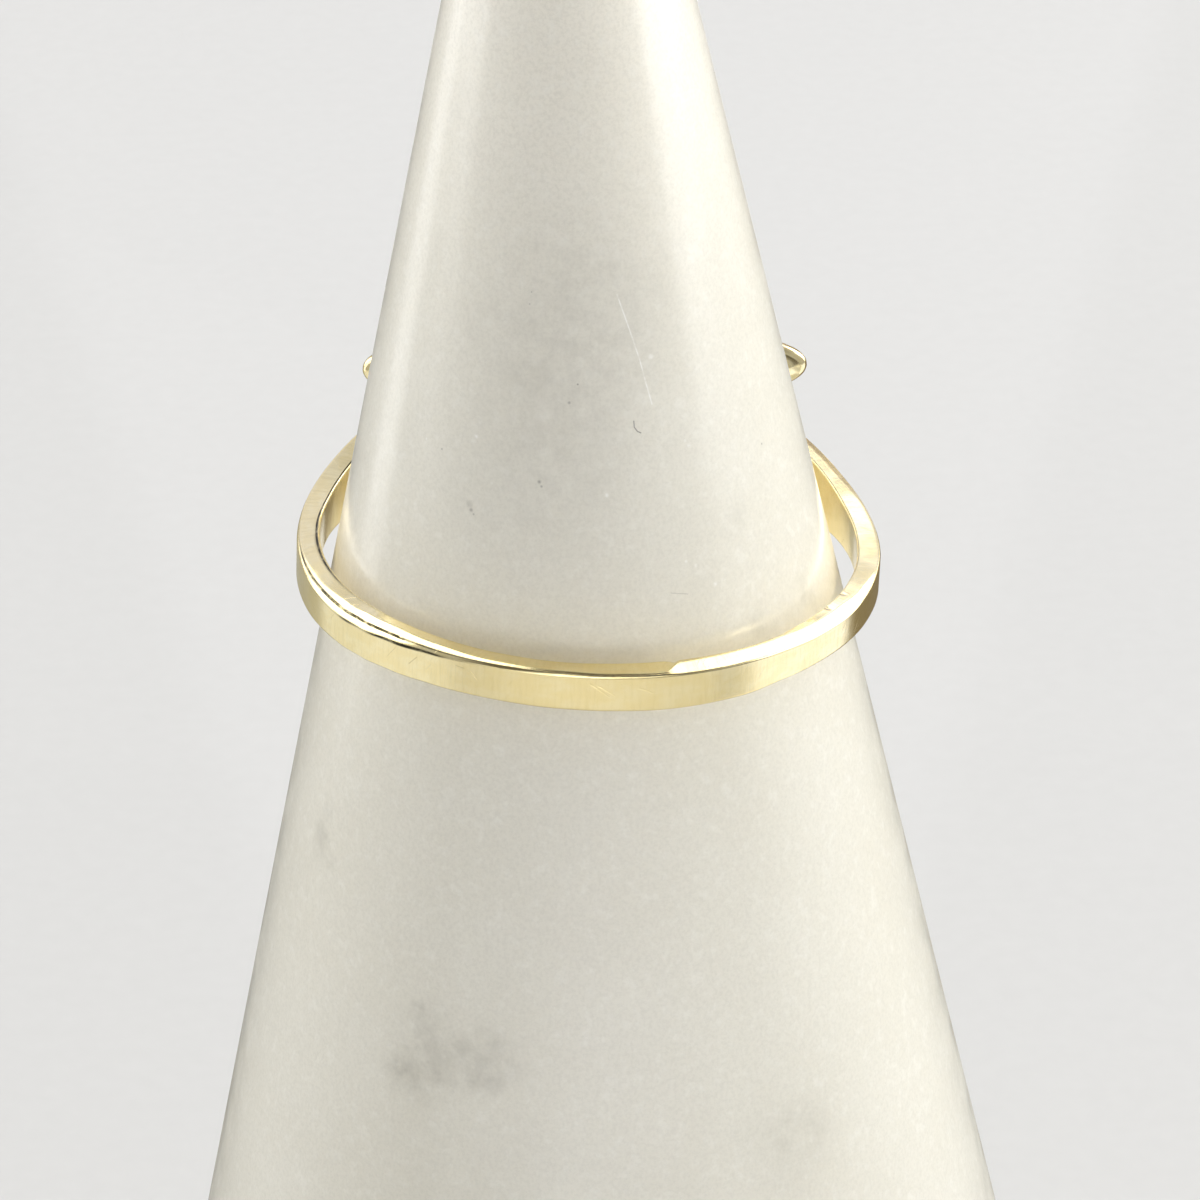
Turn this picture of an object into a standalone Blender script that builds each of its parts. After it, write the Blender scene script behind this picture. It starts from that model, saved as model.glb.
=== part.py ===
"""A stackable ring on a marble cone stand.

The stand is turned about the Z axis and stands on its flat base at Z = 0. The ring lies round the
cone, almost level: its palm side faces -Y and its head faces +Y. All lengths are metres.
"""
from math import asin, atan2, copysign, cos, pi, radians, sin, tan

import bmesh
import bpy
from mathutils import Matrix, Vector

MM = 0.001

# Marble cone stand
STAND_HEIGHT = 88.0 * MM
BASE_RADIUS = 20.4 * MM
TIP_RADIUS = 1.6 * MM
BASE_EDGE = 0.7 * MM

# Band of the ring
FINGER_BORE = 17.3 * MM
BAND_THICKNESS = 0.75 * MM
PALM_WIDTH = 1.25 * MM
SHOULDER_WIDTH = 3.6 * MM
SHOULDER_RISE = 0.7 * MM
BAND_EDGE = 0.11 * MM

# Where the shoulders are half grown, as a share of the way from palm to head, and how suddenly
SHOULDER_PLACE = 0.86
SHOULDER_POWER = 8

# Head of the ring: a domed boat-shaped plate on a flaring foot
HEAD_LENGTH = 15.2 * MM
HEAD_BREADTH = 3.1 * MM
HEAD_STAND_OFF = 2.85 * MM
RIM_HEIGHT = 0.85 * MM
RIM_EDGE = 0.2 * MM
DOME_HEIGHT = 0.7 * MM
FOOT_LENGTH = 5.6 * MM
FOOT_BREADTH = 2.6 * MM
HEAD_TWIST = radians(-2.5)

# A power of 2 makes the outline of the head an ellipse, and a higher one makes its ends blunter
HEAD_OUTLINE_POWER = 2.1

# Share of the band's thickness that the head's foot is sunk into
FOOT_SINK = 0.8

# How the ring lies on the cone
SIDE_PLAY = 0.57 * MM
SEAT_GAP = 0.3 * MM
SIDE_SHIFT = 0.18 * MM
RING_LEAN = radians(3.3)

# Mesh fineness
CONE_STEPS = 72
TIP_STEPS = 6
BASE_EDGE_STEPS = 3
BAND_STEPS = 120
EDGE_STEPS = 2
HEAD_SIDES = 48
FLARE_STEPS = 5
DOME_STEPS = 5


def clear_scene():
    for old in list(bpy.data.objects):
        bpy.data.objects.remove(old, do_unlink=True)


def new_collection(name):
    collection = bpy.data.collections.new(name)
    bpy.context.scene.collection.children.link(collection)
    return collection


def material(name, color, roughness, metallic):
    result = bpy.data.materials.new(name)
    result.use_nodes = True
    shader = result.node_tree.nodes["Principled BSDF"]
    shader.inputs["Base Color"].default_value = (*color, 1.0)
    shader.inputs["Roughness"].default_value = roughness
    shader.inputs["Metallic"].default_value = metallic
    return result


def mesh_object(name, mesh, collection, finish=None):
    piece = bpy.data.objects.new(name, mesh)
    collection.objects.link(piece)
    if finish is not None:
        mesh.materials.append(finish)
    return piece


def loft(name, sections, ring_shaped):
    """Skin between closed sections that have as many points each.

    A ring-shaped loft joins its last section to its first one. Any other has flat caps.
    """
    work = bmesh.new()
    rows = [[work.verts.new(point) for point in section] for section in sections]
    pairs = list(zip(rows, rows[1:]))
    if ring_shaped:
        pairs.append((rows[-1], rows[0]))
    else:
        work.faces.new(rows[0])
        work.faces.new(rows[-1])
    count = len(rows[0])
    for lower, upper in pairs:
        for i in range(count):
            j = (i + 1) % count
            work.faces.new((lower[i], lower[j], upper[j], upper[i]))
    bmesh.ops.recalc_face_normals(work, faces=work.faces)
    mesh = bpy.data.meshes.new(name)
    work.to_mesh(mesh)
    work.free()
    return mesh


# Marble cone stand

def side_angle():
    """Angle of the straight side, which runs from the base circle to touch the rounded tip."""
    tip_center = STAND_HEIGHT - TIP_RADIUS
    reach = (BASE_RADIUS ** 2 + tip_center ** 2) ** 0.5
    return atan2(BASE_RADIUS, tip_center) - asin(TIP_RADIUS / reach)


def cone_radius(height):
    return BASE_RADIUS - height * tan(side_angle())


def cone_profile():
    """Half outline of the stand as (radius, height), from the tip down to the base's middle."""
    angle = side_angle()
    points = []
    for i in range(TIP_STEPS + 1):
        turn = (pi / 2 - angle) * i / TIP_STEPS
        points.append((TIP_RADIUS * sin(turn), STAND_HEIGHT - TIP_RADIUS + TIP_RADIUS * cos(turn)))
    flat_radius = BASE_RADIUS - BASE_EDGE
    for i in range(BASE_EDGE_STEPS + 1):
        turn = pi / 2 * i / BASE_EDGE_STEPS
        points.append((flat_radius + (cone_radius(BASE_EDGE) - flat_radius) * cos(turn),
                       BASE_EDGE * (1 - sin(turn))))
    points.append((0.0, 0.0))
    return points


def make_cone_stand(collection, marble):
    points = [(radius, 0.0, height) for radius, height in cone_profile()]
    mesh = bpy.data.meshes.new("cone_stand")
    mesh.from_pydata(points, [(i, i + 1) for i in range(len(points) - 1)], [])
    stand = mesh_object("cone_stand", mesh, collection, marble)
    turn = stand.modifiers.new("turn", "SCREW")
    turn.steps = CONE_STEPS
    turn.render_steps = CONE_STEPS
    turn.use_merge_vertices = True
    turn.merge_threshold = 0.00001
    turn.use_smooth_shade = True
    return stand


# Ring

def shoulder_growth(angle):
    """How far the shoulder has grown at an angle from the palm: 0 at the palm, near 1 at the head."""
    share = (1 - cos(angle)) / 2
    grown = (share / SHOULDER_PLACE) ** SHOULDER_POWER
    full = (1 / SHOULDER_PLACE) ** SHOULDER_POWER
    return grown / (1 + grown) * (1 + full) / full


def band_outline(width, middle):
    """Section of the band as (radius, height): flat walls and faces with small round edges."""
    inner = FINGER_BORE / 2
    outer = inner + BAND_THICKNESS
    low = middle - width / 2
    high = middle + width / 2
    corners = (
        (outer - BAND_EDGE, high - BAND_EDGE, 0.0),
        (inner + BAND_EDGE, high - BAND_EDGE, pi / 2),
        (inner + BAND_EDGE, low + BAND_EDGE, pi),
        (outer - BAND_EDGE, low + BAND_EDGE, 3 * pi / 2),
    )
    points = []
    for radius, height, start in corners:
        for i in range(EDGE_STEPS + 1):
            turn = start + pi / 2 * i / EDGE_STEPS
            points.append((radius + BAND_EDGE * cos(turn), height + BAND_EDGE * sin(turn)))
    return points


def band_sections():
    sections = []
    for i in range(BAND_STEPS):
        angle = 2 * pi * i / BAND_STEPS
        growth = shoulder_growth(angle)
        width = PALM_WIDTH + (SHOULDER_WIDTH - PALM_WIDTH) * growth
        outline = band_outline(width, SHOULDER_RISE * growth)
        section = [(radius * sin(angle), -radius * cos(angle), height) for radius, height in outline]
        sections.append(section)
    return sections


def signed_power(value, power):
    return copysign(abs(value) ** power, value)


def oval(half_length, half_breadth, height):
    """Closed outline of the head at one height, a superellipse."""
    power = 2 / HEAD_OUTLINE_POWER
    points = []
    for i in range(HEAD_SIDES):
        turn = 2 * pi * i / HEAD_SIDES
        points.append((half_length * signed_power(cos(turn), power),
                       half_breadth * signed_power(sin(turn), power), height))
    return points


def head_sections():
    """Ovals from the foot, which starts inside the band, over the rim to the top of the dome.

    Heights run outwards from the finger's axis.
    """
    band_top = FINGER_BORE / 2 + BAND_THICKNESS
    foot_height = band_top - BAND_THICKNESS * FOOT_SINK
    rim_height = band_top + HEAD_STAND_OFF
    half_length = HEAD_LENGTH / 2
    half_breadth = HEAD_BREADTH / 2
    sections = []
    for i in range(FLARE_STEPS + 1):
        share = i / FLARE_STEPS
        length = FOOT_LENGTH / 2 + (half_length - RIM_EDGE - FOOT_LENGTH / 2) * share
        breadth = FOOT_BREADTH / 2 + (half_breadth - RIM_EDGE - FOOT_BREADTH / 2) * share
        sections.append(oval(length, breadth, foot_height + (rim_height - foot_height) * share))
    sections.append(oval(half_length, half_breadth, rim_height + RIM_EDGE))
    sections.append(oval(half_length, half_breadth, rim_height + RIM_HEIGHT - RIM_EDGE))
    sections.append(oval(half_length - RIM_EDGE, half_breadth - RIM_EDGE, rim_height + RIM_HEIGHT))
    for i in range(1, DOME_STEPS):
        turn = pi / 2 * i / DOME_STEPS
        sections.append(oval((half_length - RIM_EDGE) * cos(turn), (half_breadth - RIM_EDGE) * cos(turn),
                             rim_height + RIM_HEIGHT + DOME_HEIGHT * sin(turn)))
    return sections


def ring_place():
    """Middle of the ring on the cone: as low as its side play allows, its palm next to the marble."""
    bore_radius = FINGER_BORE / 2
    height = (BASE_RADIUS - bore_radius + SIDE_PLAY) / tan(side_angle())
    palm_bottom = cone_radius(height - PALM_WIDTH / 2)
    return Vector((SIDE_SHIFT, bore_radius - SEAT_GAP - palm_bottom, height))


def make_ring(collection, cutters, gold):
    ring = mesh_object("ring", loft("ring", band_sections(), True), collection, gold)
    ring.location = ring_place()
    ring.rotation_euler = (0.0, RING_LEAN, 0.0)
    head = mesh_object("head_form", loft("head_form", head_sections(), False), cutters, gold)
    head.parent = ring
    head.matrix_local = (Matrix.Translation((0.0, 0.0, SHOULDER_RISE))
                         @ Matrix.Rotation(-pi / 2, 4, "X") @ Matrix.Rotation(HEAD_TWIST, 4, "Z"))
    head.hide_render = True
    head.display_type = "WIRE"
    join = ring.modifiers.new("head", "BOOLEAN")
    join.operation = "UNION"
    join.solver = "EXACT"
    join.object = head
    ring.data.shade_smooth()
    ring.data.set_sharp_from_angle(angle=radians(35))
    return ring


def main():
    clear_scene()
    parts = new_collection("ring_on_cone_stand")
    cutters = new_collection("cutters")
    gold = material("yellow_gold", (0.86, 0.66, 0.30), 0.16, 1.0)
    marble = material("white_marble", (0.78, 0.77, 0.73), 0.22, 0.0)
    make_cone_stand(parts, marble)
    make_ring(parts, cutters, gold)


main()
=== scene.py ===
"""Looks of the stackable ring on its marble cone stand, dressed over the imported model.

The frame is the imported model's: the stand's axis is Z, its base is at Z = 0, the ring's palm side
faces -Y and its head faces +Y. Sizes are written in millimetres times MM. Places round the ring and
the stand are degrees from the palm side, and positive towards +X.
"""
from math import asin, atan2, copysign, cos, exp, pi, radians, sin, tan

import bmesh
import bpy
from mathutils import Matrix, Vector, noise

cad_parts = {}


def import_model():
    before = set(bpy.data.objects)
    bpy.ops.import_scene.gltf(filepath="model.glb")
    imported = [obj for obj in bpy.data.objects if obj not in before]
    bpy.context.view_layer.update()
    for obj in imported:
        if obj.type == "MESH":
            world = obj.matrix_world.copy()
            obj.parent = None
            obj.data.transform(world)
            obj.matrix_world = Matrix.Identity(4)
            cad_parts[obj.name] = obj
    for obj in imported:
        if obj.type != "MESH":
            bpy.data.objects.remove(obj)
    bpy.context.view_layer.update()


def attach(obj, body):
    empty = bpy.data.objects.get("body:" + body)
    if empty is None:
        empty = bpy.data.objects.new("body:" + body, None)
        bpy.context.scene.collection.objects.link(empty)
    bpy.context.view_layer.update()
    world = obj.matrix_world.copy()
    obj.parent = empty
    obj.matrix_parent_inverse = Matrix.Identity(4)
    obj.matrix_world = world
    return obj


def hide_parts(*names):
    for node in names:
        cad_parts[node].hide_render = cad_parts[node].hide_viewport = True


MM = 0.001

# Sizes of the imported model
STAND_HEIGHT = 88.0 * MM
BASE_RADIUS = 20.4 * MM
TIP_RADIUS = 1.6 * MM
BASE_EDGE = 0.7 * MM
FINGER_BORE = 17.3 * MM
BAND_THICKNESS = 0.75 * MM
PALM_WIDTH = 1.25 * MM
SHOULDER_WIDTH = 3.6 * MM
SHOULDER_RISE = 0.7 * MM
SHOULDER_PLACE = 0.86
SHOULDER_POWER = 8
HEAD_LENGTH = 15.2 * MM
HEAD_BREADTH = 3.1 * MM
HEAD_STAND_OFF = 2.85 * MM
HEAD_OUTLINE_POWER = 2.1
HEAD_TWIST = radians(-2.5)
RIM_HEIGHT = 0.85 * MM
DOME_HEIGHT = 0.7 * MM
FOOT_LENGTH = 5.6 * MM
FOOT_BREADTH = 2.6 * MM
SIDE_PLAY = 0.57 * MM
SEAT_GAP = 0.3 * MM
SIDE_SHIFT = 0.18 * MM
RING_LEAN = radians(3.3)

# Photograph: the camera looks at a point just below the ring's palm
CAMERA_ELEVATION = radians(27.3)
CAMERA_DISTANCE = 180.0 * MM
CAMERA_ROLL = radians(1.41)
CAMERA_LENS = 167.4
AIM_FROM_RING = Vector((0.338, -0.679, -1.315)) * MM


# Shader nodes

def add_node(tree, kind, inputs=None, **settings):
    """New node with its settings. Each input is set to a value, or linked when it is given a socket."""
    node = tree.nodes.new(kind)
    for name, value in settings.items():
        setattr(node, name, value)
    for name, value in (inputs or {}).items():
        if isinstance(value, bpy.types.NodeSocket):
            tree.links.new(value, node.inputs[name])
        else:
            node.inputs[name].default_value = value
    return node


def math_node(tree, operation, first, second=0.0, clamp=False):
    node = add_node(tree, "ShaderNodeMath", {0: first, 1: second}, operation=operation, use_clamp=clamp)
    return node.outputs[0]


def vector_node(tree, operation, first, second=(0.0, 0.0, 0.0)):
    return add_node(tree, "ShaderNodeVectorMath", {0: first, 1: second}, operation=operation)


def scaled(tree, vector, scale):
    """Coordinates stretched by three factors."""
    return vector_node(tree, "MULTIPLY", vector, scale).outputs["Vector"]


def noise_node(tree, vector, scale, detail=2.0, roughness=0.5):
    node = add_node(tree, "ShaderNodeTexNoise", {
        "Vector": vector, "Scale": scale, "Detail": detail, "Roughness": roughness})
    return node.outputs["Fac"]


def smooth_range(tree, value, low, high, to_low=0.0, to_high=1.0):
    """Smooth step of a value from one range to another."""
    node = add_node(tree, "ShaderNodeMapRange", {
        "Value": value, "From Min": low, "From Max": high, "To Min": to_low, "To Max": to_high},
        interpolation_type="SMOOTHSTEP")
    return node.outputs["Result"]


def mix_colors(tree, amount, first, second):
    """Colour between two others. A colour mix's own sockets are number 6, number 7 and output 2."""
    return add_node(tree, "ShaderNodeMix", {0: amount, 6: first, 7: second}, data_type="RGBA").outputs[2]


def line_mask(tree, vector, start, end, width):
    """1 on a straight stroke between two points, fading to 0 at half its width."""
    along = Vector(end) - Vector(start)
    from_start = vector_node(tree, "SUBTRACT", vector, tuple(start)).outputs["Vector"]
    per_length = tuple(along / along.length_squared)
    dot = vector_node(tree, "DOT_PRODUCT", from_start, per_length).outputs["Value"]
    share = math_node(tree, "ADD", dot, 0.0, clamp=True)
    on_line = add_node(tree, "ShaderNodeVectorMath", {0: tuple(along), "Scale": share}, operation="SCALE")
    away = vector_node(tree, "DISTANCE", from_start, on_line.outputs["Vector"]).outputs["Value"]
    return smooth_range(tree, away, width / 2, 0.0)


def spot_mask(tree, vector, center, radius):
    away = vector_node(tree, "DISTANCE", vector, tuple(center)).outputs["Value"]
    return smooth_range(tree, away, radius, 0.0)


def new_material(name):
    """Material with its node tree and its shader."""
    result = bpy.data.materials.new(name)
    result.use_nodes = True
    tree = result.node_tree
    return result, tree, tree.nodes["Principled BSDF"]


# Colours of the gold
GOLD_DEEP = (0.935, 0.785, 0.41, 1.0)
GOLD_PALE = (0.96, 0.83, 0.475, 1.0)
GOLD_LINE = (0.74, 0.60, 0.29, 1.0)
GOLD_BRIGHT_LINE = (1.0, 0.90, 0.60, 1.0)
GOLD_SCRATCH = (0.52, 0.41, 0.19, 1.0)
# Near black painted along the band's edges: painted dark reflection and shade
PAINTED_EDGE_SHADE = (0.03, 0.026, 0.013, 1.0)

GOLD_SCRATCH_WIDTH = 0.05 * MM
GOLD_WAVE_SCALE = 900.0
GOLD_BUMP = 0.0016 * MM

# Scratches on the band's wall, each from one place to another: degrees from the palm and height in mm
GOLD_SCRATCHES = (
    ((-23.8, 0.28), (-22.9, 0.17)),
    ((-22.9, 0.17), (-22.3, 0.03)),
    ((-0.4, 0.37), (3.3, -0.07)),
    ((1.2, 0.30), (4.2, -0.02)),
    ((-26.5, 0.36), (-24.8, 0.33)),
    ((9.0, 0.20), (11.5, 0.02)),
    ((-37.0, -0.10), (-35.2, 0.22)),
)


def on_wall(degrees_from_palm, height):
    """Point on the band's outer wall."""
    turn = radians(degrees_from_palm)
    radius = FINGER_BORE / 2 + BAND_THICKNESS
    return Vector((radius * sin(turn), -radius * cos(turn), height * MM))


def gold_material():
    """Pale yellow gold: soft polishing lines across the walls, paler patches, scratches, and painted dark
    reflection and shade along the edges.
    """
    result, tree, shader = new_material("pale_gold")
    coordinates = add_node(tree, "ShaderNodeTexCoord")
    around = coordinates.outputs["UV"]
    solid = coordinates.outputs["Object"]

    # The map is in millimetres, so a noise's first two factors are blobs per millimetre, first round the
    # band and then along its section
    patches = noise_node(tree, scaled(tree, around, (1.1, 1.9, 1.0)), 1.0, 4.0, 0.6)
    color = mix_colors(tree, smooth_range(tree, patches, 0.38, 0.66), GOLD_DEEP, GOLD_PALE)

    lines = noise_node(tree, scaled(tree, around, (8.0, 0.8, 1.0)), 1.0, 4.0, 0.6)
    fine_lines = noise_node(tree, scaled(tree, around, (30.0, 2.4, 1.0)), 1.0, 2.0)
    slant = add_node(tree, "ShaderNodeMapping", {"Vector": around, "Rotation": (0.0, 0.0, radians(38))})
    stray = noise_node(tree, scaled(tree, slant.outputs["Vector"], (22.0, 0.8, 1.0)), 1.0, 1.0)
    scratches = math_node(tree, "MULTIPLY", smooth_range(tree, stray, 0.70, 0.78), 0.5)
    for start, end in GOLD_SCRATCHES:
        stroke = line_mask(tree, solid, on_wall(*start), on_wall(*end), GOLD_SCRATCH_WIDTH)
        scratches = math_node(tree, "MAXIMUM", scratches, stroke)
    waves = noise_node(tree, solid, GOLD_WAVE_SCALE, 2.0)

    color = mix_colors(tree, smooth_range(tree, lines, 0.42, 0.75, 0.0, 0.26), color, GOLD_LINE)
    color = mix_colors(tree, smooth_range(tree, fine_lines, 0.50, 0.75, 0.0, 0.20), color,
                       GOLD_BRIGHT_LINE)
    color = mix_colors(tree, math_node(tree, "MULTIPLY", scratches, 0.5), color, GOLD_SCRATCH)

    # Dark reflection and shade are painted along the edges, as the band's mesh says, thinned here and
    # there by a noise
    painted_shade_amount = add_node(tree, "ShaderNodeAttribute", attribute_name="painted_dark_edges").outputs["Fac"]
    broken = noise_node(tree, scaled(tree, around, (1.6, 4.0, 1.0)), 1.0, 4.0, 0.7)
    painted_dark_edges = math_node(tree, "MULTIPLY", smooth_range(tree, painted_shade_amount, 0.0, 0.50),
                        smooth_range(tree, broken, 0.34, 0.54, 0.65, 1.0))
    color = mix_colors(tree, painted_dark_edges, color, PAINTED_EDGE_SHADE)

    roughness = smooth_range(tree, lines, 0.2, 0.8, 0.12, 0.20)
    roughness = math_node(tree, "ADD", roughness, math_node(tree, "MULTIPLY", painted_dark_edges, 0.15))
    height = math_node(tree, "ADD", math_node(tree, "MULTIPLY", lines, 0.8),
                       math_node(tree, "MULTIPLY", fine_lines, 0.3))
    height = math_node(tree, "ADD", height, math_node(tree, "MULTIPLY", waves, 5.0))
    height = math_node(tree, "SUBTRACT", height, math_node(tree, "MULTIPLY", scratches, 2.0))
    bump = add_node(tree, "ShaderNodeBump", {"Height": height, "Strength": 1.0, "Distance": GOLD_BUMP})

    tree.links.new(color, shader.inputs["Base Color"])
    tree.links.new(roughness, shader.inputs["Roughness"])
    tree.links.new(bump.outputs["Normal"], shader.inputs["Normal"])
    shader.inputs["Metallic"].default_value = 1.0
    return result


def on_cone(angle, height):
    """Point on the marble, by its angle from the palm side in degrees and its height in millimetres."""
    turn = radians(angle)
    radius = cone_radius(height * MM)
    return Vector((radius * sin(turn), -radius * cos(turn), height * MM))


def stroke_mask(tree, vector, path, width):
    """Mask of a bent stroke along places on the marble."""
    places = [on_cone(*place) for place in path]
    mask = None
    for start, end in zip(places, places[1:]):
        stroke = line_mask(tree, vector, start, end, width)
        mask = stroke if mask is None else math_node(tree, "MAXIMUM", mask, stroke)
    return mask


# Colours of the marble
MARBLE_CLOUD = (0.765, 0.735, 0.635, 1.0)
MARBLE_CLEAR = (0.80, 0.775, 0.685, 1.0)
# Paler colour towards the tip: painted light from above
MARBLE_PAINTED_TOP_LIGHT = (0.93, 0.89, 0.79, 1.0)
MARBLE_CRYSTAL = (0.60, 0.58, 0.50, 1.0)
MARBLE_GRAIN = (0.90, 0.885, 0.81, 1.0)
MARBLE_PATCH = (0.43, 0.41, 0.35, 1.0)
MARBLE_SPECK = (0.20, 0.19, 0.16, 1.0)
MARBLE_PALE_MARK = (0.98, 0.97, 0.93, 1.0)

# Scales of the marble's noises, in blobs per metre
CLOUD_SCALE = 75.0
CRYSTAL_SCALE = 8200.0
GRAIN_SCALE = 2600.0
RAGGED_SCALE = 520.0
MOTTLE_SCALE = 1500.0
RANDOM_SPECK_SCALE = 230.0
GLOSS_SCALE = 700.0
MARBLE_WAVE_SCALE = 240.0

# Heights between which painted light makes the marble paler towards its tip
PAINTED_LIGHT_FROM = 62 * MM
PAINTED_LIGHT_TO = 84 * MM

# How far a noise shifts the edges of the patches and of the pale flecks
PATCH_SHIFT = 3.4 * MM
FLECK_SHIFT = 0.35 * MM

MARBLE_TICK_WIDTH = 0.065 * MM
MARBLE_DASH_WIDTH = 0.04 * MM
MARBLE_SCRATCH_WIDTH = 0.075 * MM
MARBLE_BUMP = 0.002 * MM
MARBLE_GLOW_DEPTH = 1.6 * MM

# Grey-brown patches of the marble: degrees from the palm side, height and radius in mm, strength
MARBLE_PATCHES = (
    (-32.5, 43.4, 1.9, 0.42),
    (-25.0, 44.4, 1.8, 0.36),
    (-18.0, 44.2, 1.6, 0.36),
    (-34.3, 43.9, 0.55, 0.45),
    (-33.8, 43.2, 0.45, 0.65),
    (-29.6, 43.4, 0.50, 0.50),
    (-30.2, 44.8, 0.70, 0.34),
    (-19.6, 44.8, 0.50, 0.34),
    (-61.5, 49.1, 1.0, 0.42),
    (-60.5, 50.4, 0.8, 0.26),
    (33.0, 40.7, 2.4, 0.26),
    (5.0, 68.2, 4.2, 0.24),
    (-7.0, 65.5, 4.0, 0.22),
    (-15.0, 62.5, 3.6, 0.15),
    (41.2, 60.7, 1.3, 0.16),
    (46.7, 57.2, 1.2, 0.34),
    (58.6, 57.2, 1.1, 0.40),
    (66.1, 57.0, 1.0, 0.34),
    (118.0, 34.0, 3.4, 0.45),
    (136.0, 30.5, 2.6, 0.35),
    (-150.0, 62.0, 3.2, 0.35),
    (84.0, 22.0, 3.0, 0.30),
    (-104.0, 24.0, 3.6, 0.35),
)

# Dark specks: degrees from the palm side, height and radius in mm, strength
MARBLE_SPECKS = (
    (-0.1, 65.80, 0.050, 0.9),
    (-10.8, 62.78, 0.090, 0.8),
    (-10.2, 62.64, 0.065, 0.7),
    (-29.0, 61.62, 0.100, 0.7),
    (-28.2, 61.50, 0.060, 0.6),
    (-29.6, 61.78, 0.180, 0.3),
    (-39.7, 63.24, 0.045, 0.8),
    (56.1, 62.49, 0.055, 0.8),
    (-14.1, 68.58, 0.035, 0.7),
    (-14.6, 68.21, 0.035, 0.7),
)

# Pale flecks: degrees from the palm side, height and radius in mm
MARBLE_FLECKS = (
    (-30.0, 63.75, 0.14),
    (-29.3, 63.90, 0.10),
    (-23.9, 62.60, 0.08),
    (-45.4, 63.40, 0.07),
    (22.0, 66.40, 0.13),
    (30.7, 63.41, 0.12),
    (29.8, 63.60, 0.08),
    (6.4, 62.39, 0.11),
    (27.8, 59.67, 0.10),
    (25.3, 59.87, 0.08),
    (32.2, 58.94, 0.12),
)

# Strokes on the marble as places along them: degrees from the palm side and height in mm
MARBLE_TICK = ((15.2, 64.53), (15.2, 64.34), (16.0, 64.20), (16.9, 64.14))
MARBLE_DASH = ((20.9, 59.04), (25.1, 58.89))
MARBLE_SCRATCH = ((13.1, 68.44), (16.8, 67.09), (18.5, 66.37), (19.7, 65.64), (20.9, 64.96))


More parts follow.
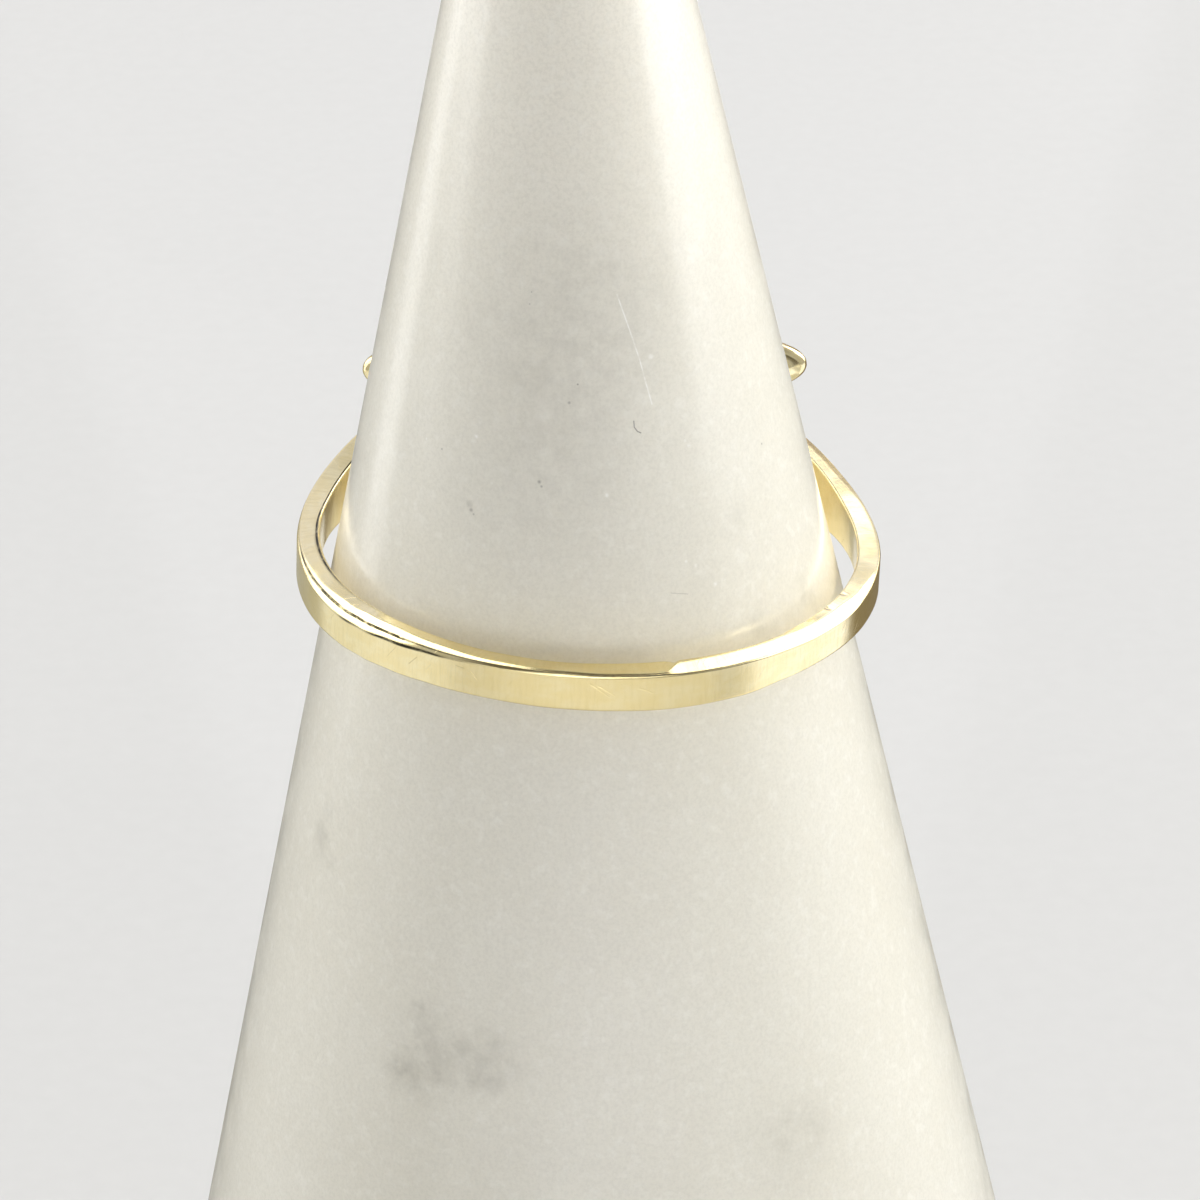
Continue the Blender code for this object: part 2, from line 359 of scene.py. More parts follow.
def marble_material():
    """Polished white marble: faint warm clouds, grey-brown patches, crystals, specks, one scratch, and
    painted light towards the tip.
    """
    result, tree, shader = new_material("polished_marble")
    solid = add_node(tree, "ShaderNodeTexCoord").outputs["Object"]

    # Clouds and crystals, with painted light that makes the marble paler towards the tip
    clouds = noise_node(tree, solid, CLOUD_SCALE, 4.0, 0.55)
    crystals = noise_node(tree, solid, CRYSTAL_SCALE, 2.0, 0.7)
    grains = noise_node(tree, solid, GRAIN_SCALE, 4.0, 0.65)
    color = mix_colors(tree, smooth_range(tree, clouds, 0.34, 0.68), MARBLE_CLOUD, MARBLE_CLEAR)
    rise = add_node(tree, "ShaderNodeSeparateXYZ", {"Vector": solid}).outputs["Z"]
    color = mix_colors(tree, smooth_range(tree, rise, PAINTED_LIGHT_FROM, PAINTED_LIGHT_TO, 0.0, 0.75), color, MARBLE_PAINTED_TOP_LIGHT)
    color = mix_colors(tree, smooth_range(tree, crystals, 0.35, 0.75, 0.0, 0.30), color, MARBLE_CRYSTAL)
    color = mix_colors(tree, smooth_range(tree, grains, 0.48, 0.75, 0.0, 0.36), color, MARBLE_GRAIN)

    # Grey-brown patches with ragged edges
    ragged = add_node(tree, "ShaderNodeTexNoise", {
        "Vector": solid, "Scale": RAGGED_SCALE, "Detail": 4.0})
    shift = vector_node(tree, "SUBTRACT", ragged.outputs["Color"], (0.5, 0.5, 0.5)).outputs["Vector"]
    wobbly = vector_node(tree, "ADD", solid, scaled(tree, shift, (PATCH_SHIFT,) * 3)).outputs["Vector"]
    mottle = noise_node(tree, solid, MOTTLE_SCALE, 3.0, 0.65)
    mottle = smooth_range(tree, mottle, 0.30, 0.70, 0.30, 1.0)
    for angle, height, radius, strength in MARBLE_PATCHES:
        patch = spot_mask(tree, wobbly, on_cone(angle, height), radius * MM)
        amount = math_node(tree, "MULTIPLY", math_node(tree, "MULTIPLY", patch, mottle), strength)
        color = mix_colors(tree, amount, color, MARBLE_PATCH)

    # Small marks: dark specks, some of them at random, pale flecks and one long pale scratch
    cells = add_node(tree, "ShaderNodeTexVoronoi", {
        "Vector": solid, "Scale": RANDOM_SPECK_SCALE, "Randomness": 1.0})
    cell_parts = add_node(tree, "ShaderNodeSeparateColor", {"Color": cells.outputs["Color"]})
    chosen = math_node(tree, "GREATER_THAN", cell_parts.outputs["Red"], 0.6)
    dots = smooth_range(tree, cells.outputs["Distance"], 0.018, 0.006, 0.0, 0.7)
    specks = math_node(tree, "MULTIPLY", dots, chosen)
    for angle, height, radius, strength in MARBLE_SPECKS:
        speck = spot_mask(tree, solid, on_cone(angle, height), radius * MM)
        specks = math_node(tree, "MAXIMUM", specks, math_node(tree, "MULTIPLY", speck, strength))
    tick = stroke_mask(tree, solid, MARBLE_TICK, MARBLE_TICK_WIDTH)
    specks = math_node(tree, "MAXIMUM", specks, tick)
    dash = stroke_mask(tree, solid, MARBLE_DASH, MARBLE_DASH_WIDTH)
    specks = math_node(tree, "MAXIMUM", specks, math_node(tree, "MULTIPLY", dash, 0.5))
    color = mix_colors(tree, math_node(tree, "MULTIPLY", specks, 0.8), color, MARBLE_SPECK)

    scratch = stroke_mask(tree, solid, MARBLE_SCRATCH, MARBLE_SCRATCH_WIDTH)
    pale = math_node(tree, "MULTIPLY", scratch, 0.8)
    frayed = vector_node(tree, "ADD", solid, scaled(tree, shift, (FLECK_SHIFT,) * 3)).outputs["Vector"]
    for angle, height, radius in MARBLE_FLECKS:
        fleck = spot_mask(tree, frayed, on_cone(angle, height), radius * MM)
        pale = math_node(tree, "MAXIMUM", pale, math_node(tree, "MULTIPLY", fleck, 0.85))
    thinned = smooth_range(tree, grains, 0.35, 0.60, 0.25, 1.0)
    color = mix_colors(tree, math_node(tree, "MULTIPLY", pale, thinned), color, MARBLE_PALE_MARK)

    roughness = smooth_range(tree, noise_node(tree, solid, GLOSS_SCALE, 3.0), 0.3, 0.7, 0.17, 0.26)

    # The bump has the crystals and a slow wave. The marks are flat, as on polished stone
    waves = noise_node(tree, solid, MARBLE_WAVE_SCALE, 2.0)
    height = math_node(tree, "ADD", math_node(tree, "MULTIPLY", crystals, 0.5),
                       math_node(tree, "MULTIPLY", waves, 4.0))
    bump = add_node(tree, "ShaderNodeBump", {"Height": height, "Strength": 1.0, "Distance": MARBLE_BUMP})

    tree.links.new(color, shader.inputs["Base Color"])
    tree.links.new(roughness, shader.inputs["Roughness"])
    tree.links.new(bump.outputs["Normal"], shader.inputs["Normal"])
    shader.inputs["IOR"].default_value = 1.62
    shader.subsurface_method = "BURLEY"
    shader.inputs["Subsurface Weight"].default_value = 0.45
    shader.inputs["Subsurface Radius"].default_value = (1.0, 0.9, 0.75)
    shader.inputs["Subsurface Scale"].default_value = MARBLE_GLOW_DEPTH
    return result


# Colours of the floor and the scale of its fibres, in blobs per metre
FLOOR_DARK = (0.60, 0.595, 0.58, 1.0)
FLOOR_LIGHT = (0.63, 0.625, 0.61, 1.0)
FIBRE_SCALE = 900.0


def floor_material():
    result, tree, shader = new_material("pale_floor")
    solid = add_node(tree, "ShaderNodeTexCoord").outputs["Object"]
    fibres = noise_node(tree, solid, FIBRE_SCALE, 4.0)
    color = mix_colors(tree, fibres, FLOOR_DARK, FLOOR_LIGHT)
    tree.links.new(color, shader.inputs["Base Color"])
    shader.inputs["Roughness"].default_value = 0.75
    return result


# Shapes

def smooth_mesh_object(name, rows, closed_round, finish, sharp_angle=None, painted_dark_edges=None):
    """Skin over rows of points, each row a closed loop. The painted dark edges have a value for each
    point of each row.

    A closed_round skin joins its last row to its first. Any other is closed by a cap at each end.
    The map's U is the way across the rows and V the way along a row, both in millimetres.
    """
    work = bmesh.new()
    layer = work.loops.layers.uv.new("surface")
    grid = [[work.verts.new(point) for point in row] for row in rows]
    count = len(rows[0])
    steps = len(rows) if closed_round else len(rows) - 1
    across = [0.0]
    for i in range(steps):
        across.append(across[-1] + (rows[(i + 1) % len(rows)][0] - rows[i][0]).length / MM)
    for i in range(steps):
        lower = grid[i]
        upper = grid[(i + 1) % len(rows)]
        along = 0.0
        for j in range(count):
            k = (j + 1) % count
            ahead = along + (rows[i][k] - rows[i][j]).length / MM
            face = work.faces.new((lower[j], lower[k], upper[k], upper[j]))
            for loop, place in zip(face.loops, ((across[i], along), (across[i], ahead),
                                                (across[i + 1], ahead), (across[i + 1], along))):
                loop[layer].uv = place
            along = ahead
    if not closed_round:
        work.faces.new(grid[0])
        work.faces.new(grid[-1])
    bmesh.ops.recalc_face_normals(work, faces=work.faces)
    mesh = bpy.data.meshes.new(name)
    work.to_mesh(mesh)
    work.free()
    if painted_dark_edges is not None:
        mesh.attributes.new("painted_dark_edges", "FLOAT", "POINT").data.foreach_set("value", sum(painted_dark_edges, []))
    mesh.shade_smooth()
    if sharp_angle is not None:
        mesh.set_sharp_from_angle(angle=sharp_angle)
    mesh.materials.append(finish)
    piece = bpy.data.objects.new(name, mesh)
    bpy.context.scene.collection.objects.link(piece)
    return piece


def side_angle():
    """Angle of the cone's straight side, which touches the rounded tip."""
    tip_center = STAND_HEIGHT - TIP_RADIUS
    reach = (BASE_RADIUS ** 2 + tip_center ** 2) ** 0.5
    return atan2(BASE_RADIUS, tip_center) - asin(TIP_RADIUS / reach)


def cone_radius(height):
    return BASE_RADIUS - height * tan(side_angle())


# Radius of the small cap that closes the flat base, as a share of the base's own
BASE_CAP = 0.97


def cone_profile(tip_steps=24, side_steps=90, edge_steps=10):
    """Half outline of the stand as (radius, height), from the tip down to the flat base."""
    angle = side_angle()
    profile = []
    for i in range(1, tip_steps + 1):
        turn = (pi / 2 - angle) * i / tip_steps
        profile.append((TIP_RADIUS * sin(turn), STAND_HEIGHT - TIP_RADIUS + TIP_RADIUS * cos(turn)))
    side_top = profile[-1][1]
    for i in range(1, side_steps):
        height = side_top + (BASE_EDGE - side_top) * i / side_steps
        profile.append((cone_radius(height), height))
    flat_radius = BASE_RADIUS - BASE_EDGE
    for i in range(edge_steps + 1):
        turn = pi / 2 * i / edge_steps
        profile.append((flat_radius + (cone_radius(BASE_EDGE) - flat_radius) * cos(turn),
                        BASE_EDGE * (1 - sin(turn))))
    profile.append((flat_radius * BASE_CAP, 0.0))
    return profile


def make_cone(marble, sides=240):
    turns = [2 * pi * i / sides for i in range(sides)]
    rows = []
    for radius, height in cone_profile():
        rows.append([Vector((radius * cos(turn), radius * sin(turn), height)) for turn in turns])
    return smooth_mesh_object("marble_cone", rows, False, marble, sharp_angle=radians(35))


def shoulder_growth(angle):
    """How far the shoulder has grown at an angle from the palm: 0 at the palm, near 1 at the head."""
    share = (1 - cos(angle)) / 2
    grown = (share / SHOULDER_PLACE) ** SHOULDER_POWER
    full = (1 / SHOULDER_PLACE) ** SHOULDER_POWER
    return grown / (1 + grown) * (1 + full) / full


# How wear has changed the band's section, round the ring. The columns are:
# degrees from the palm;
# inner edge of the top face, crest of its outer edge, top of the flat wall and bottom edge, each in
# millimetres above where it was when new;
# how far the crest lies in from the wall, and the breadth of the slanting facet inside the crest, in mm;
# the facet's slant in degrees, and the size of the round inner lip in mm
WEAR = (
    (-180, 0.000, -0.020, -0.120, 0.000, 0.030, 0.030, 12, 0.05),
    (-105, 0.000, -0.020, -0.120, 0.000, 0.030, 0.030, 12, 0.07),
    (-90, 0.080, -0.060, -0.200, -0.150, 0.060, 0.030, 18, 0.12),
    (-80, 0.100, -0.090, -0.260, -0.185, 0.080, 0.060, 24, 0.13),
    (-70, 0.110, -0.130, -0.330, -0.205, 0.095, 0.120, 33, 0.13),
    (-57, 0.110, -0.130, -0.390, -0.165, 0.110, 0.190, 34, 0.11),
    (-50, 0.130, -0.070, -0.330, -0.105, 0.110, 0.220, 34, 0.08),
    (-42, 0.130, 0.000, -0.210, -0.030, 0.090, 0.230, 33, 0.06),
    (-32, 0.115, 0.050, -0.110, 0.035, 0.050, 0.170, 32, 0.05),
    (-20, 0.100, 0.075, -0.050, 0.060, 0.030, 0.090, 32, 0.05),
    (-6, 0.065, 0.065, -0.060, 0.030, 0.018, 0.060, 32, 0.04),
    (3, 0.075, 0.038, -0.070, 0.010, 0.018, 0.050, 26, 0.04),
    (14, 0.062, 0.004, -0.090, -0.030, 0.018, 0.060, 25, 0.04),
    (18, -0.020, -0.035, -0.105, -0.030, 0.018, 0.500, 20, 0.04),
    (30, -0.020, -0.042, -0.110, -0.015, 0.018, 0.500, 20, 0.04),
    (40, 0.000, -0.045, -0.105, 0.095, 0.020, 0.480, 20, 0.04),
    (50, 0.045, -0.085, -0.145, 0.115, 0.025, 0.400, 21, 0.04),
    (60, 0.055, -0.115, -0.185, 0.090, 0.030, 0.370, 21, 0.04),
    (70, 0.035, -0.080, -0.170, 0.060, 0.035, 0.230, 20, 0.04),
    (84, 0.000, -0.040, -0.130, 0.000, 0.035, 0.040, 14, 0.05),
    (105, 0.010, -0.050, -0.150, 0.000, 0.035, 0.060, 18, 0.05),
    (118, 0.070, -0.100, -0.200, 0.000, 0.040, 0.300, 22, 0.05),
    (130, 0.065, -0.095, -0.195, 0.000, 0.040, 0.300, 20, 0.05),
    (142, 0.040, -0.085, -0.185, 0.000, 0.040, 0.300, 17, 0.05),
    (158, 0.000, -0.030, -0.130, 0.000, 0.030, 0.060, 12, 0.05),
    (180, 0.000, -0.020, -0.120, 0.000, 0.030, 0.030, 12, 0.05),
)

# How dark the painted lines of dark reflection and shade are, from 0 to 1: degrees from the palm, crest,
# top of the wall, inner lip
PAINTED_DARK_LINES = (
    (-180, 0.0, 0.0, 0.7),
    (-100, 0.1, 0.0, 0.8),
    (-88, 0.3, 0.0, 0.9),
    (-75, 0.7, 0.1, 0.6),
    (-60, 0.95, 0.2, 0.25),
    (-54, 0.95, 0.55, 0.2),
    (-50, 0.95, 0.25, 0.2),
    (-46, 0.9, 0.6, 0.2),
    (-41, 0.8, 0.8, 0.1),
    (-37, 0.65, 1.0, 0.1),
    (-33, 0.5, 0.8, 0.1),
    (-28, 0.4, 0.3, 0.1),
    (-20, 0.3, 0.1, 0.1),
    (-6, 0.28, 0.1, 0.1),
    (5, 0.35, 0.3, 0.1),
    (17, 0.45, 0.4, 0.2),
    (30, 0.5, 0.45, 0.1),
    (42, 0.45, 0.45, 0.0),
    (52, 0.15, 0.3, 0.0),
    (62, 0.0, 0.1, 0.0),
    (90, 0.0, 0.0, 0.3),
    (180, 0.0, 0.0, 0.7),
)
DARK_LINE_WIDEST = 0.075 * MM

# Sizes of the round crest and of the round bottom edges
CREST_ROUND = 0.016 * MM
BOTTOM_ROUND = 0.09 * MM

# Degrees at which a round edge has its points
ROUND_EDGE = (0, 15, 32, 50, 68, 90)

# Shares of the way at which the strip below the crest, the facet and the flatter face have their points
LEAN_SHARES = (0.0, 0.06, 0.15, 0.3, 0.5, 0.7, 0.85, 0.94, 1.0)
FACET_SHARES = (0.04, 0.15, 0.4, 0.7, 0.93)
LEVEL_SHARES = (0.06, 0.25, 0.5, 0.75, 0.92, 1.0)

# Steps along the outer wall, the inner wall and the bottom
WALL_STEPS = 24
INNER_STEPS = 5
BOTTOM_STEPS = 4


def between_rows(table, degrees_from_palm):
    """Values of a table at an angle, eased between its rows."""
    for before, after in zip(table, table[1:]):
        if degrees_from_palm <= after[0]:
            share = (degrees_from_palm - before[0]) / (after[0] - before[0])
            eased = share * share * (3 - 2 * share)
            return [low + (high - low) * eased for low, high in zip(before[1:], after[1:])]
    return list(table[-1][1:])


def round_edge(size):
    """Quarter round as (inset, rise), from its foot on the wall to its end on the face."""
    points = [Vector((0.0, 0.0))]
    for before, after in zip(ROUND_EDGE, ROUND_EDGE[1:]):
        tilt = radians((before + after) / 2)
        points.append(points[-1] + Vector((sin(tilt), cos(tilt))))
    return [(point.x / points[-1].x * size, point.y / points[-1].y * size) for point in points]


def run(start, end, steps, hold=0.015 * MM):
    """Points between two corners of a section, with one close to each end to keep the run flat."""
    length = (end - start).length
    shares = [hold / length] + [i / steps for i in range(1, steps)] + [1 - hold / length]
    return [start.lerp(end, share) for share in shares]


def band_outline(degrees_from_palm):
    """Section of the band as points (radius, height), from the wall's top over the face and round.

    Also gives how dark each point is.
    """
    growth = shoulder_growth(radians(degrees_from_palm))
    width = PALM_WIDTH + (SHOULDER_WIDTH - PALM_WIDTH) * growth
    middle = SHOULDER_RISE * growth
    face, crest, wall_top, bottom, lean, facet, slant, lip = between_rows(WEAR, degrees_from_palm)
    crest_dark, foot_dark, lip_dark = between_rows(PAINTED_DARK_LINES, degrees_from_palm)
    inner = FINGER_BORE / 2
    outer = inner + BAND_THICKNESS
    low = middle - width / 2 + bottom * MM
    high = middle + width / 2
    lip *= MM

    # The wall's top leans in to the crest. A facet and a flatter face lead on to the inner edge
    foot = Vector((outer, high + wall_top * MM))
    climb = (crest - wall_top) * MM - CREST_ROUND
    lean_in = [foot + Vector((-lean * MM * share ** 1.5, climb * share)) for share in LEAN_SHARES]
    edge = [lean_in[-1] + Vector((-inset, rise)) for inset, rise in round_edge(CREST_ROUND)[1:]]
    ridge = edge[-1] + Vector((-facet, facet * tan(radians(slant)))) * MM
    inner_end = Vector((inner + lip, high + face * MM))
    facet_points = [edge[-1].lerp(ridge, share) for share in FACET_SHARES]
    level = [ridge.lerp(inner_end, share) for share in LEVEL_SHARES]
    lip_edge = [Vector((inner + x, inner_end.y - lip + y)) for x, y in reversed(round_edge(lip))]
    bottom_edge = [(x, low + BOTTOM_ROUND - y) for x, y in round_edge(BOTTOM_ROUND)]
    bottom_inner = [Vector((inner + x, height)) for x, height in bottom_edge]
    bottom_outer = [Vector((outer - x, height)) for x, height in reversed(bottom_edge)]
    inner_wall = run(lip_edge[-1], bottom_inner[0], INNER_STEPS)
    bottom_face = run(bottom_inner[-1], bottom_outer[0], BOTTOM_STEPS)
    outer_wall = run(bottom_outer[-1], lean_in[0], WALL_STEPS)
    points = (lean_in + edge + facet_points + level + lip_edge[1:] + inner_wall
              + bottom_inner + bottom_face + bottom_outer + outer_wall)

    # Each painted dark line fades out to both sides of its edge
    lines = ((foot, foot_dark), (edge[0], crest_dark), (inner_end, lip_dark))
    reach = min(DARK_LINE_WIDEST, 0.4 * climb)
    dark = [max(strength * max(0.0, 1 - (point - place).length / reach) for place, strength in lines)
            for point in points]
    return points, dark


# Slow wave of the band's walls: its depth, the radius in millimetres of the circle that it is sampled
# round, and the factors on the height and on the whole
WAVE_DEPTH = 0.008 * MM
WAVE_RADIUS = 9.0
WAVE_FLATTENING = 0.6
WAVE_SCALE = 0.55

# Degrees between the band's rows in front and behind, and how many degrees the front goes to each side
FRONT_STEP = 0.25
BACK_STEP = 0.5
FRONT_SIDE = 100

# Dents: degrees from the palm, radius, height, size and depth in millimetres
DENTS = (
    (-39.9, 9.29, 0.66, 0.050, 0.045),
    (-38.8, 9.33, 0.62, 0.035, 0.020),
    (17.0, 8.70, 0.62, 0.060, 0.050),
    (44.0, 8.73, 0.66, 0.090, 0.030),
    (51.0, 8.72, 0.66, 0.110, 0.030),
    (58.5, 8.72, 0.66, 0.080, 0.025),
    (66.0, 8.73, 0.66, 0.060, 0.025),
    (-17.5, 9.38, 0.60, 0.070, 0.012),
)


def band_sections():
    """Rows of the band and their painted dark edges, closer together where the camera sees its front."""
    turns = []
    turn = -180.0
    while turn < 180.0:
        turns.append(turn)
        turn += FRONT_STEP if -FRONT_SIDE <= turn < FRONT_SIDE else BACK_STEP
    rows = []
    painted_dark_edges = []
    for turn in turns:
        angle = radians(turn)
        points, dark = band_outline(turn)
        painted_dark_edges.append(dark)
        row = []
        for radius, height in points:
            place = Vector((WAVE_RADIUS * sin(angle), WAVE_RADIUS * cos(angle),
                            height / MM * WAVE_FLATTENING))
            radius += WAVE_DEPTH * noise.noise(place * WAVE_SCALE)
            for middle, level, rise, size, depth in DENTS:
                away = ((turn - middle) * radians(level)) ** 2
                away += (radius / MM - level) ** 2 + (height / MM - rise) ** 2
                height -= depth * MM * exp(-away / size ** 2)
            row.append(Vector((radius * sin(angle), -radius * cos(angle), height)))
        rows.append(row)
    return rows, painted_dark_edges


def signed_power(value, power):
    return copysign(abs(value) ** power, value)


def oval(half_length, half_breadth, height, sides=160):
    """Closed outline of the head at one height, a superellipse."""
    power = 2 / HEAD_OUTLINE_POWER
    turns = [2 * pi * i / sides for i in range(sides)]
    return [Vector((half_length * signed_power(cos(turn), power),
                    half_breadth * signed_power(sin(turn), power), height)) for turn in turns]


# Finer shape of the head: how far its foot is sunk in as a share of the band's thickness, the size of
# the foot's fillet, its share across the head, its height, the power that bends the flare, and the
# round of the rim
FOOT_SINK = 0.6
FOOT_FILLET = 0.35 * MM
FILLET_ACROSS = 0.6
FILLET_REACH = 0.8 * MM
FLARE_POWER = 1.15
RIM_ROUND = 0.34 * MM
FLARE_STEPS = 24
RIM_STEPS = 11
DOME_STEPS = 24


def head_sections():
    """Ovals of the head from its foot inside the band, over the rim to the top of the dome."""
    band_top = FINGER_BORE / 2 + BAND_THICKNESS
    rim_low = band_top + HEAD_STAND_OFF
    rim_high = rim_low + RIM_HEIGHT
    foot = band_top - FOOT_SINK * BAND_THICKNESS
    half_length = HEAD_LENGTH / 2
    half_breadth = HEAD_BREADTH / 2
    rows = []
    for i in range(FLARE_STEPS + 1):
        share = i / FLARE_STEPS
        height = foot + (rim_low - foot) * share
        spread = FOOT_FILLET * max(0.0, 1 - (height - foot) / FILLET_REACH) ** 2
        length = FOOT_LENGTH / 2 + (half_length - RIM_ROUND - FOOT_LENGTH / 2) * share ** FLARE_POWER
        breadth = FOOT_BREADTH / 2 + (half_breadth - RIM_ROUND - FOOT_BREADTH / 2) * share
        rows.append(oval(length + spread, breadth + spread * FILLET_ACROSS, height))
    for i in range(1, RIM_STEPS):
        turn = pi * i / RIM_STEPS
        inset = RIM_ROUND * (1 - sin(turn))
        height = rim_low + RIM_HEIGHT * (1 - cos(turn)) / 2
        rows.append(oval(half_length - inset, half_breadth - inset, height))
    for i in range(1, DOME_STEPS):
        turn = pi / 2 * i / DOME_STEPS
        rows.append(oval((half_length - RIM_ROUND) * cos(turn), (half_breadth - RIM_ROUND) * cos(turn),
                         rim_high + DOME_HEIGHT * sin(turn)))
    return rows


def ring_place():
    """Middle of the ring on the cone."""
    bore_radius = FINGER_BORE / 2
    height = (BASE_RADIUS - bore_radius + SIDE_PLAY) / tan(side_angle())
    palm_bottom = cone_radius(height - PALM_WIDTH / 2)
    return Vector((SIDE_SHIFT, bore_radius - SEAT_GAP - palm_bottom, height))


def make_ring(gold):
    """Band and head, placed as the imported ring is."""
    place = Matrix.Translation(ring_place()) @ Matrix.Rotation(RING_LEAN, 4, "Y")
    rows, painted_dark_edges = band_sections()
    band = smooth_mesh_object("gold_band", rows, True, gold, painted_dark_edges=painted_dark_edges)
    band.matrix_world = place
    head = smooth_mesh_object("gold_head", head_sections(), False, gold, sharp_angle=radians(50))
    head.matrix_world = (place @ Matrix.Translation((0.0, 0.0, SHOULDER_RISE))
                         @ Matrix.Rotation(-pi / 2, 4, "X") @ Matrix.Rotation(HEAD_TWIST, 4, "Z"))
    return band, head


# Stage

# Half the floor's side in metres, and how far the floor lies below the stand's base
FLOOR_HALF = 1.5
FLOOR_DROP = 0.05 * MM


def make_floor():
    corners = [(x * FLOOR_HALF, y * FLOOR_HALF, 0.0) for x, y in ((-1, -1), (1, -1), (1, 1), (-1, 1))]
    mesh = bpy.data.meshes.new("floor")
    mesh.from_pydata(corners, [], [(0, 1, 2, 3)])
    mesh.materials.append(floor_material())
    floor = bpy.data.objects.new("floor", mesh)
    bpy.context.scene.collection.objects.link(floor)
    floor.location.z = -FLOOR_DROP
    return floor


def direction_to(azimuth, elevation):
    """Unit vector from the ring. Azimuth is counted from the camera's side towards +X, in degrees."""
    turn = radians(azimuth)
    rise = radians(elevation)
    return Vector((sin(turn) * cos(rise), -cos(turn) * cos(rise), sin(rise)))


# Glow that the gold's wall reflects from the floor: degrees from the camera's side, then red, green, blue
FLOOR_GLOW_LEFT = (
    (-168, 0.44, 0.43, 0.37),
    (-136, 0.48, 0.47, 0.41),
    (-122, 0.84, 0.86, 0.88),
    (-88, 0.93, 0.95, 1.00),
    (-48, 0.68, 0.68, 0.70),
)
FLOOR_GLOW_RIGHT = (
    (48, 0.66, 0.66, 0.67),
    (68, 1.20, 1.25, 1.45),
    (114, 1.25, 1.30, 1.52),
    (122, 0.24, 0.20, 0.13),
    (168, 0.20, 0.165, 0.11),
)
GLOW_HEIGHT = 1.0 * MM


def make_floor_glow(name, table, receivers, near=0.05, far=0.6):
    """Glowing card just above the floor, from near to far in metres round the stand.

    It is seen only in the reflections on the receivers.
    """
    points = []
    colors = []
    for azimuth, red, green, blue in table:
        for distance in (near, far):
            flat = direction_to(azimuth, 0.0) * distance
            points.append((flat.x, flat.y, GLOW_HEIGHT))
            colors += [red, green, blue, 1.0]
    faces = [(2 * i, 2 * i + 2, 2 * i + 3, 2 * i + 1) for i in range(len(table) - 1)]
    mesh = bpy.data.meshes.new(name)
    mesh.from_pydata(points, [], faces)
    mesh.attributes.new("glow", "FLOAT_COLOR", "POINT").data.foreach_set("color", colors)
    material, tree, shader = new_material(name)
    glow = add_node(tree, "ShaderNodeAttribute", attribute_name="glow").outputs["Color"]
    shader.inputs["Base Color"].default_value = (0.0, 0.0, 0.0, 1.0)
    shader.inputs["Specular IOR Level"].default_value = 0.0
    tree.links.new(glow, shader.inputs["Emission Color"])
    shader.inputs["Emission Strength"].default_value = 1.0
    mesh.materials.append(material)
    card = bpy.data.objects.new(name, mesh)
    bpy.context.scene.collection.objects.link(card)
    card.visible_camera = False
    card.visible_diffuse = False
    card.visible_shadow = False
    card.visible_transmission = False
    card.light_linking.receiver_collection = receivers


# Lamps: name, azimuth and elevation in degrees, distance, width and height in metres, power in watts.
# The windows light all but the head, and cast only the marble's shadow
WINDOWS = (
    ("left_window", -101, 22, 0.50, 0.46, 0.50, 1.6),
    ("right_window", 95, 24, 0.50, 0.60, 0.56, 3.1),
)
BACK_LAMPS = (
    ("left_back", -140, 14, 0.50, 0.20, 0.30, 0.35),
    ("right_back", 138, 14, 0.50, 0.24, 0.34, 0.7),
)

# Upright strip in the reflections on all pieces, its height, and lamps in the band's reflections alone
STRIP = ("left_strip", -117, 0, 0.20, 0.065, 0.24, 0.070)
STRIP_HEIGHT = 0.12
BAND_LAMPS = (
    ("left_lamp", -106, 34, 0.50, 0.50, 0.34, 1.2),
    ("left_high_lamp", -110, 64, 0.50, 0.36, 0.34, 0.9),
    ("right_lamp", 80, 44, 0.50, 0.90, 0.14, 4.0),
    ("right_back_lamp", 143, 45, 0.50, 0.14, 0.36, 0.34),
    ("right_far_lamp", 168, 37, 0.50, 0.128, 0.123, 0.07),
)

# Lamp in front that points straight down on the floor, with a narrowed spread
FLOOR_FILL = ("floor_fill", 0, 24, 0.40, 0.30, 0.30, 1.15)
FILL_SPREAD = radians(80)


def add_softbox(name, azimuth, elevation, distance, width, height, power):
    """Area light aimed at the ring."""
    light = bpy.data.lights.new(name, "AREA")
    light.shape = "RECTANGLE"
    light.size = width
    light.size_y = height
    light.energy = power
    lamp = bpy.data.objects.new(name, light)
    bpy.context.scene.collection.objects.link(lamp)
    aim = ring_place()
    lamp.location = aim + direction_to(azimuth, elevation) * distance
    lamp.rotation_euler = (aim - lamp.location).to_track_quat("-Z", "Y").to_euler()
    lamp.visible_camera = False
    return lamp


def only_in_reflections(lamp):
    """Leaves a lamp to draw highlights without lighting the floor or the marble."""
    lamp.visible_diffuse = False
    lamp.visible_transmission = False


def make_lamps(all_but_head, marble_only, band_only):
    """All the lamps. The collections hold the pieces that a lamp lights or casts the shadow of."""
    for row in WINDOWS:
        window = add_softbox(*row)
        window.light_linking.receiver_collection = all_but_head
        window.light_linking.blocker_collection = marble_only
    for row in BACK_LAMPS:
        add_softbox(*row)
    strip = add_softbox(*STRIP)
    strip.location.z = STRIP_HEIGHT
    only_in_reflections(strip)
    for row in BAND_LAMPS:
        lamp = add_softbox(*row)
        only_in_reflections(lamp)
        lamp.light_linking.receiver_collection = band_only
    fill = add_softbox(*FLOOR_FILL)
    fill.rotation_euler = (0.0, 0.0, 0.0)
    fill.data.spread = FILL_SPREAD


# Colours of the world: what the camera sees, what lights rough surfaces, and what shines in reflections,
# which is the room, its back low down and high up, and its dim part overhead and on the camera's side
WORLD_SEEN = (0.70, 0.69, 0.68, 1.0)
WORLD_LIGHT = (0.47, 0.47, 0.475, 1.0)
WORLD_ROOM = (0.49, 0.495, 0.52, 1.0)
WORLD_BACK_LOW = (0.36, 0.29, 0.23, 1.0)
WORLD_BACK_HIGH = (0.82, 0.84, 1.02, 1.0)
WORLD_DIM = (0.13, 0.12, 0.11, 1.0)


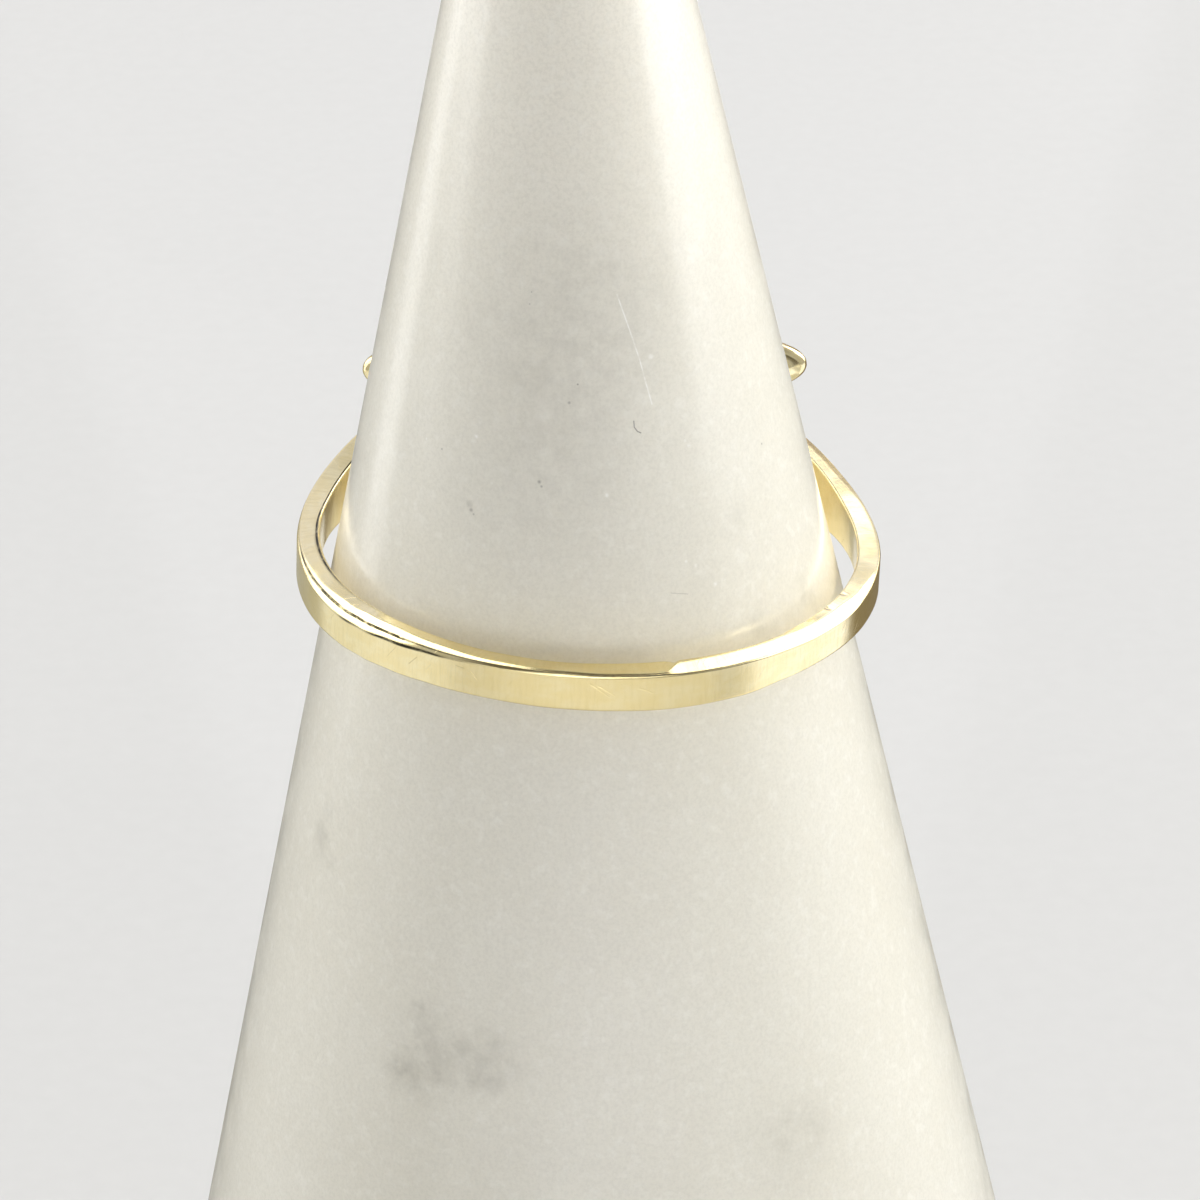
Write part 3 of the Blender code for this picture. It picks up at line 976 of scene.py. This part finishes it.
def make_world():
    """Soft room light: dim overhead and on the camera's side, plain pale where the camera sees it."""
    world = bpy.data.worlds.new("studio")
    bpy.context.scene.world = world
    world.use_nodes = True
    tree = world.node_tree
    tree.nodes.clear()
    direction = add_node(tree, "ShaderNodeTexCoord").outputs["Generated"]
    parts = add_node(tree, "ShaderNodeSeparateXYZ", {"Vector": direction})
    depth = parts.outputs["Y"]
    rise = parts.outputs["Z"]
    overhead = smooth_range(tree, rise, 0.68, 0.94)
    before = smooth_range(tree, depth, -0.50, -0.85)
    behind = smooth_range(tree, depth, 0.45, 0.85)
    back = mix_colors(tree, smooth_range(tree, rise, 0.10, 0.44), WORLD_BACK_LOW, WORLD_BACK_HIGH)
    room = mix_colors(tree, behind, WORLD_ROOM, back)
    room = mix_colors(tree, math_node(tree, "MAXIMUM", overhead, before), room, WORLD_DIM)
    rays = add_node(tree, "ShaderNodeLightPath")
    room = mix_colors(tree, rays.outputs["Is Diffuse Ray"], room, WORLD_LIGHT)
    color = mix_colors(tree, rays.outputs["Is Camera Ray"], room, WORLD_SEEN)
    background = add_node(tree, "ShaderNodeBackground", {"Color": color, "Strength": 1.0})
    output = add_node(tree, "ShaderNodeOutputWorld")
    tree.links.new(background.outputs["Background"], output.inputs["Surface"])


def make_camera():
    data = bpy.data.cameras.new("camera")
    data.lens = CAMERA_LENS
    data.sensor_width = 36.0
    data.clip_start = 0.01
    data.clip_end = 10.0
    camera = bpy.data.objects.new("camera", data)
    bpy.context.scene.collection.objects.link(camera)
    ring = ring_place()
    toward = Vector((0.0, -cos(CAMERA_ELEVATION), sin(CAMERA_ELEVATION)))
    camera.location = ring + CAMERA_DISTANCE * toward
    look = (ring + AIM_FROM_RING - camera.location).to_track_quat("-Z", "Y").to_matrix()
    camera.rotation_euler = (look @ Matrix.Rotation(-CAMERA_ROLL, 3, "Z")).to_euler()
    bpy.context.scene.camera = camera


def main():
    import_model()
    bpy.context.scene.view_settings.view_transform = "Standard"
    make_camera()
    make_world()
    floor = make_floor()
    gold_pieces = bpy.data.collections.new("gold_pieces")
    band_only = bpy.data.collections.new("band_only")
    all_but_head = bpy.data.collections.new("all_but_head")
    marble_only = bpy.data.collections.new("marble_only")
    make_floor_glow("floor_glow_left", FLOOR_GLOW_LEFT, gold_pieces)
    make_floor_glow("floor_glow_right", FLOOR_GLOW_RIGHT, gold_pieces)
    make_lamps(all_but_head, marble_only, band_only)

    gold = gold_material()
    marble = marble_material()
    cone = make_cone(marble)
    band, head = make_ring(gold)
    for collection, pieces in ((gold_pieces, (band, head)), (band_only, (band,)),
                               (all_but_head, (floor, cone, band)), (marble_only, (cone,))):
        for piece in pieces:
            collection.objects.link(piece)
    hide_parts("cone_stand")
    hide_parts("ring")
    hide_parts("ring")
    for piece in (cone, band, head):
        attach(piece, "root")


main()
